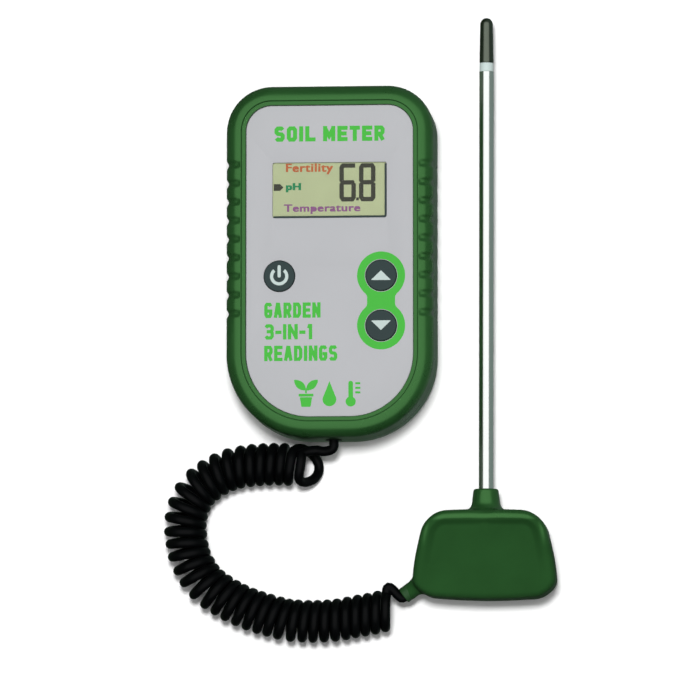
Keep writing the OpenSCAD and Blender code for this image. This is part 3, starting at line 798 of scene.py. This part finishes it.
prints = {"button_band": surround(), "title_words": label("SOIL METER", -19.8, 19.8, 43.0, 48.5, 1.45, 0.75)}
for k, (words, width) in enumerate((("GARDEN", 20.2), ("3-IN-1", 17.2), ("READINGS", 26.2))):
    low_y = -20.5 - 7.75 * k
    prints[f"label_line_{k + 1}"] = label(words, -23.4, -23.4 + width, low_y, low_y + 5.5, 1.2, 0.55)
mark_y, mark_size = -47.4, 8.2
for name, mark_x, shapes in (("sprout", -8.4, sprout()), ("droplet", 0, droplet())):
    shapes = [[(mark_x + mark_size * x, mark_y + mark_size * y) for x, y in outline] for outline in shapes]
    prints[name + "_mark"] = slab(shapes, print_low, print_high)
prints["thermometer_mark"] = slab(thermometer(7.6, mark_y, mark_size), print_low, print_high)
for name, shape in prints.items():
    piece(name, shape, "meter", print_green, "faceplate")


# ---- display
lcd_z = box("lcd_panel")[1].z
lcd_low, lcd_high = lcd_z - 0.02, lcd_z + 0.03


def lcd_box(x, y, w, h):
    """Box (x0, x1, y0, y1) from distances to the window's left and upper edges"""
    return window_x0 + x, window_x0 + x + w, window_y1 - y - h, window_y1 - y


DIGITS = paths_of({
    "6": ".95,1 .12,1 0,.94 0,.06 .12,0 .88,0 1,.06 1,.45 .9,.5 0,.5",
    "8": ".5,0 .88,0 1,.06 1,.94 .88,1 .12,1 0,.94 0,.06 .12,0 .5,0 / 0,.5 1,.5",
})


def digit(name, x):
    """Display digit, as the outlines of its strokes and of the notches at its waist"""
    w, h, t = 5.9, 13.75, 1.6
    x0, x1, y0, y1 = lcd_box(x, 0.3, w, h)
    strokes = []
    for path in DIGITS[name]:
        strokes += stroke([(x0 + t / 2 + px * (w - t), y0 + t / 2 + py * (h - t)) for px, py in path], t)
    middle, notch = (y0 + y1) / 2, 0.45
    notches = [[(xo, middle - notch), (xo + side * notch * 1.3, middle), (xo, middle + notch)]
               for xo, side in ((x0 - 0.01, 1), (x1 + 0.01, -1))]
    return strokes, notches


six, six_notches = digit("6", 23.95)
eight, eight_notches = digit("8", 31.0)
segments = six + eight
segments.append(rounded(rectangle(*lcd_box(29.95, 12.6, 1.0, 1.1), 0.1), 3))
px0, px1, py0, py1 = lcd_box(0.35, 7.55, 3.5, 2.45)
segments.append([(px0, py0), (px1 - 1.25, py0), (px1, (py0 + py1) / 2), (px1 - 1.25, py1), (px0, py1)])
piece("lcd_segments", slab(segments, lcd_low, lcd_high, six_notches + eight_notches), "meter", lcd_dark,
      "display")
for name, words, place, weight, look in (
        ("lcd_word_fertility", "Fertility", lcd_box(4.7, 0.2, 17.0, 4.0), 0.34, lcd_orange),
        ("lcd_word_ph", "pH", lcd_box(4.7, 7.2, 5.5, 3.4), 0.55, lcd_green),
        ("lcd_word_temperature", "Temperature", lcd_box(4.0, 14.9, 27.5, 3.55), 0.34, lcd_purple)):
    piece(name, lettering(words, place, lcd_low, lcd_high, weight), "meter", look, "display")


def window_shade_strip():
    """Dark strip of painted shade along the right and lower edges of the window, where those edges look
    shaded
    """
    w, x0, x1, y0, y1 = 0.75, window_x0 + 0.3, window_x1, window_y0, window_y1 - 0.5
    outline = [(x0, y0, 0.1), (x1, y0, 0.8), (x1, y1, 0.1), (x1 - w, y1, 0.1), (x1 - w, y0 + w, 0.3),
               (x0, y0 + w, 0.1)]
    return column(outline, [(0, lcd_z), (0, face_z - 0.2), (0.08, face_z - 0.1)], 6)


# The dark strip at the window's right and lower edges is painted shade
piece("window_painted_shade", window_shade_strip(), "meter", painted_shade_dark, "button")


# ---- buttons
def button_mesh(name):
    """Cap with a rounded rim, a flange under the faceplate and a stem"""
    low, high = box(name + "_button")
    place, dome = button_places[name], 0.35
    flange_z, flange_r = ledge_z - 1.3, (high.x - low.x) / 2
    arc = [(button_r - dome * (1 - cos(a)), high.z - dome + dome * sin(a)) for a in np.linspace(0, pi / 2, 7)]
    profile = [(0, low.z), (2.2, low.z), (2.2, flange_z), (flange_r, flange_z), (flange_r, flange_z + 1.1),
               (button_r, flange_z + 1.1)]
    return turned(profile + arc + [(0, high.z)], (place.x, place.y, 0), (0, 0, 1), 72)


def icon(name, outlines):
    """Thin pale shapes on the top of a button"""
    place, top = button_places[name], box(name + "_button")[1].z
    outlines = [[(place.x + x, place.y + y) for x, y in outline] for outline in outlines]
    return slab(outlines, top - 0.02, top + 0.04)


def power_icon():
    """Open ring with a bar in its gap"""
    ring_r, half, gap, steps = 2.72, 0.575, radians(40), 40
    turn = np.linspace(pi / 2 + gap, pi / 2 + 2 * pi - gap, steps)
    outer = [((ring_r + half) * cos(a), (ring_r + half) * sin(a)) for a in turn]
    inner = [((ring_r - half) * cos(a), (ring_r - half) * sin(a)) for a in turn[::-1]]
    bar = rounded(rectangle(-half, half, -0.45, 4.0, 0.5), 6)
    return [[(x, y - 0.1) for x, y in outline] for outline in (outer + inner, bar)]


arrow = rounded([(3.6, -1.75, 0.12), (0, 1.75, 0.2), (-3.6, -1.75, 0.12)], 4)
icons = {"power": power_icon(), "up": [arrow], "down": [[(-x, -y) for x, y in arrow]]}
for name in button_places:
    piece(name + "_cap", button_mesh(name), name + "_button", button_rubber, "button", name + "_button")
    piece(name + "_icon", icon(name, icons[name]), name + "_button", print_pale, "button")


# ---- probe
def side_bulge(y):
    """How far the head's sides stand out beyond straight ones"""
    return 1.25 * np.cos(pi / 2 * np.clip((y + 107.5) / 19, -1, 1)) ** 2


def head_outline(corners, inset):
    """Ring of the head: its sides bulge a little, and its ends are slightly convex"""
    ring = []
    for x, y in rounded(drawn_in(corners, inset), 12, fill=(16, 30, 16, 30)):
        across = (x - probe_x) / head_low_w
        x += across * side_bulge(y)
        y += (0.1 + 0.6 * max(0, -across) + 1.25 * across ** 2) * ramp(-y, -head_low_y - 8, -head_low_y)
        y += (0.2 - (1.3 if across > 0 else 0.9) * across ** 2) * ramp(y, head_top_y - 8, head_top_y)
        ring.append((x, y))
    return ring


def fused(meshes, spots):
    """Overlapping closed meshes as one skin, smoothed into fillets near the spots (centre, radius)"""
    voxel, passes, first_passes, least_share, most_share = 0.42, 70, 3, 0.3, 0.7
    work = bmesh.new()
    for mesh in meshes:
        work.from_mesh(mesh)
    joined = bpy.data.meshes.new("joined")
    work.to_mesh(joined)
    work.free()
    holder = placed("joined", joined)
    step = holder.modifiers.new("fuse", "REMESH")
    step.mode, step.voxel_size, step.use_smooth_shade = "VOXEL", voxel * MM, True
    made = applied(holder)
    n = len(made.vertices)
    co, edges = np.empty(n * 3, np.float32), np.empty(len(made.edges) * 2, np.int32)
    made.vertices.foreach_get("co", co)
    made.edges.foreach_get("vertices", edges)
    co, edges = co.reshape(-1, 3).astype(float) / MM, edges.reshape(-1, 2)
    a, b = np.concatenate([edges, edges[:, ::-1]]).T
    degree = np.bincount(a, minlength=n)[:, None]
    weight = sum(np.exp(-(np.linalg.norm(co - np.array(centre), axis=1) / radius) ** 2)
                 for centre, radius in spots)
    for k in range(passes):
        mean = np.stack([np.bincount(a, co[b, j], n) for j in range(3)], 1) / degree
        share = np.clip(weight, least_share if k < first_passes else 0, most_share)[:, None]
        co += share * (mean - co)
    made.vertices.foreach_set("co", (co * MM).astype(np.float32).ravel())
    made.update()
    return made


def head_meshes():
    """Grip head with its collar and the neck round the cord outlet, split into halves at the rod's height"""
    corners = [(probe_x + head_low_w - 0.2, head_low_y - 0.2, 7), (probe_x + head_top_w + 0.6, head_top_y, 9),
               (probe_x - head_top_w - 0.6, head_top_y, 9), (probe_x - head_low_w + 0.2, head_low_y - 0.2, 7)]
    profile = rounded([(head_round, 0, 0), (0, 0, head_round), (0, head_t, face_round), (3.0, head_t, 0.5),
                       (5.5, head_t - lip_depth, 1.0), (7.6, head_t - lip_depth, 0)], 8, closed=False)
    rows = []
    for inset, z in profile:
        ring = head_outline(corners, inset)
        sunk = head_t - z if inset > face_round and z > rod_z else 0
        rows.append(([(x, y, z + sunk * (1 - max(0, min(1, (y - head_low_y - 5) / 22)))) for x, y in ring],))
    grip = Shape().solid(rows)
    collar_y = head_high.y
    flare = [(7.4 - 2.2 * cos(a), head_top_y + 2.2 - 2.2 * sin(a)) for a in np.linspace(pi / 2, 0, 9)]
    profile = [(0, -100), (7.4, -100)] + flare + [(4.5, collar_y - 0.25), (4.25, collar_y), (0, collar_y)]
    collar = turned(profile, (probe_x + rod_shift, 0, rod_z), (0, 1, 0), 72)
    neck = turned([(0, 1.4), (2.95, 1.4), (3.05, 1.7), (3.7, 10), (0, 10)], outlet_end, outlet_way, 48)
    spots = [((28.6, -113.6, rod_z), 3.6), ((31.6, -119.2, rod_z), 1.6)]
    spots += [((probe_x + 6.5 * side, head_top_y, rod_z), 3.0) for side in (-1, 1)]
    spots += [((probe_x, head_top_y + 0.5, rod_z + 5.5 * side), 3.0) for side in (-1, 1)]
    head = fused([grip.mesh("head"), collar.mesh("collar"), neck.mesh("neck")], spots)
    cavity = column(drawn_in(corners, 3.4, 1.0), [(0, 3.4), (0, head_t - 4.4)], 6)
    bores = [cavity, turned([(0, 0), (rod_r + 0.05, 0), (rod_r + 0.05, 30), (0, 30)],
                            (probe_x + rod_shift, -104, rod_z), (0, 1, 0), 48)]
    bores += [turned([(0, -1), (nub_r + 0.02, -1), (nub_r + 0.02, 6), (0, 6)], outlet_end, outlet_way, 40)]
    bores += [screw_hole(x, y, 4) for x, y in head_screws]
    head = combined(head, bores, "DIFFERENCE")
    reach = 60
    halves = []
    for z0, z1 in ((rod_z, rod_z + reach), (rod_z - reach, rod_z)):
        square = rectangle(probe_x - reach, probe_x + reach, -100 - reach, -100 + reach)
        halves.append(combined(head.copy(), [column(square, [(0, z0), (0, z1)])], "INTERSECT"))
    return halves


def mask_matte(made):
    """Marks how matte the head is: its upper ridge is glossy, the face and the rest are matte"""
    spots = np.empty(len(made.data.vertices) * 3, np.float32)
    made.data.vertices.foreach_get("co", spots)
    x, y, z = spots.reshape(-1, 3).T / MM
    half_width = head_low_w - 4.8 * (y - head_low_y) / (head_top_y - head_low_y) + side_bulge(y)
    inner = ramp(half_width - np.abs(x - probe_x), 1.6, 3.2) * ramp(head_top_y - y, 2.9, 4.2) * (z > rod_z)
    share = np.maximum(inner, ramp(-y, 95, 103))
    made.data.attributes.new("matte", "FLOAT", "POINT").data.foreach_set("value", share.astype(np.float32))


nub_r = 2.9
for name, mesh, node in zip(("head_face_half", "head_back_half"), head_meshes(), ("head_front", "head_rear")):
    mask_matte(piece(name, mesh, "probe", housing_head, "housing", node))
nub = [(0, 0.5), (1.85, 0.5), (1.95, 0.1), (nub_r - 0.25, 0), (nub_r, 0.25), (nub_r, 6.9), (0, 6.9)]
piece("cord_outlet_nub", turned(nub, outlet_end, outlet_way, 56), "probe", housing_matte, "housing",
      "cord_outlet")


def along_rod(y):
    """Point of the rod's axis, which leans a little to the right"""
    return probe_x + rod_shift + rod_lean * (y - head_top_y), y, rod_z


rod_way = (rod_lean, 1, 0)
rod_len = rod_high.y - rod_low.y
tube_r = rod_r + 0.08
rod_profile = [(0, 0), (tube_r - 0.1, 0), (tube_r, 0.1), (tube_r, rod_len - 0.12), (tube_r - 0.12, rod_len),
               (0, rod_len)]
ring_len, ring_r = ring_high.y - ring_low.y, 2.5
ring_profile = [(0, 0), (ring_r - 0.15, 0), (ring_r, 0.12), (ring_r, ring_len - 0.12),
                (ring_r - 0.15, ring_len), (0, ring_len)]
tip_len = tip_high.y - tip_low.y + 0.5
nose_r, nose_l = 2.3, 2.6
nose = [(nose_r * cos(a) ** 0.9, tip_len - nose_l + nose_l * sin(a)) for a in np.linspace(0, pi / 2, 14)]
tip_profile = [(0, 0), (2.3, 0), (2.45, 0.15), (2.53, 0.6), *nose[:-1], (0, tip_len)]
for name, low, profile, look, slot, node in (
        ("rod_tube", rod_low, rod_profile, rod_chrome, "rod", "probe_rod"),
        ("ring_collar", ring_low, ring_profile, ring_pale, "insulator", "insulator_ring"),
        ("tip_electrode", tip_low, tip_profile, tip_dark, "electrode", "probe_tip")):
    piece(name, turned(profile, along_rod(low.y), rod_way, 96), "probe", look, slot, node)


# ---- finishes of the CAD nodes that stay
looks = {
    lens_clear: ["lcd_lens"], lcd_ground: ["lcd_panel"],
    white_plastic: ["lcd_holder", "wire_plug", "insulating_sleeve"],
    strip_rubber: ["zebra_strips"], board_green: ["main_pcb"], chip_black: ["controller_chip"],
    component_tan: ["pcb_components"], wire_red: ["meter_wires", "head_wires"], cord_black: ["cord_grommet"],
    cell_wrap: ["battery_cell"], brass: ["core_rod", "rod_collar"],
    screw_steel: ["snap_domes", "battery_spring", "battery_contacts", "shell_screws", "pcb_screws",
                  "solder_tags", "head_screws"]}
for look, nodes in looks.items():
    for node in nodes:
        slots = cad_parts[node].data.materials
        slots.clear()
        slots.append(look)


# ---- floor and light
def make_floor():
    data = bpy.data.meshes.new("floor")
    size = 3
    data.from_pydata([(x, y, 0) for x, y, _ in rectangle(-size, size, -size, size)], [], [(0, 1, 2, 3)])
    data.materials.append(material("floor_white", (0.92, 0.92, 0.92), 0.7, spread=0.0, depth=0.0))
    floor = placed("floor", data)
    floor.location.z = -0.0001
    floor.visible_glossy = False


def softbox(name, place, size, power):
    """Square lamp that lights matte surfaces. Glossy ones mirror the world's softbox instead."""
    aim = (0, -30, 10)
    data = bpy.data.lights.new(name, "AREA")
    data.shape, data.size, data.size_y, data.energy = "RECTANGLE", size * MM, size * MM, power
    lamp = placed(name, data)
    lamp.location = Vector(place) * MM
    lamp.rotation_euler = (Vector(place) - Vector(aim)).to_track_quat("Z", "Y").to_euler()
    lamp.visible_glossy = lamp.visible_camera = False


def make_world():
    """Wide white softbox straight above, with dim surroundings, for glossy surfaces"""
    world = bpy.data.worlds.new("studio")
    bpy.context.scene.world = world
    world.use_nodes = True
    world.cycles_visibility.diffuse = False
    tree = world.node_tree
    way = add(tree, "SeparateXYZ", {"Vector": add(tree, "TexCoord").outputs["Generated"]}).outputs

    def math(kind, a, b=0.0):
        return add(tree, "Math", {0: a, 1: b}, operation=kind).outputs["Value"]

    height = math("MAXIMUM", way["Z"], 0.001)
    x_out = math("ABSOLUTE", math("SUBTRACT", math("DIVIDE", way["X"], height), 0.03))
    y_out = math("ABSOLUTE", math("ADD", math("DIVIDE", way["Y"], height), 0.15))
    inside = mapped(tree, math("MAXIMUM", x_out, y_out), 0.85, 1.2, 1.0, 0.0, interpolation_type="SMOOTHSTEP")
    inside = math("MULTIPLY", inside, math("GREATER_THAN", way["Z"], 0.0))
    around = add(tree, "Mix", {"Factor": mapped(tree, way["X"], -0.3, 0.5), "A": (0.07, 0.10, 0.07, 1),
                               "B": (0.19, 0.24, 0.22, 1)}, data_type="RGBA")
    front = mapped(tree, way["Y"], -0.7, -0.2, 0.3, 1.0)
    dimmed = add(tree, "VectorMath", {0: around.outputs[2], "Scale": front}, operation="SCALE")
    sky = add(tree, "Mix", {"Factor": inside, "A": dimmed.outputs["Vector"], "B": (1.2, 1.2, 1.2, 1)},
              data_type="RGBA")
    tree.links.new(sky.outputs[2], tree.nodes["Background"].inputs["Color"])


make_floor()
make_world()
softbox("key", (45, 130, 1540), 260, 22)
softbox("fill", (0, -30, 1800), 2600, 21)
bpy.context.scene.view_settings.view_transform = "Standard"
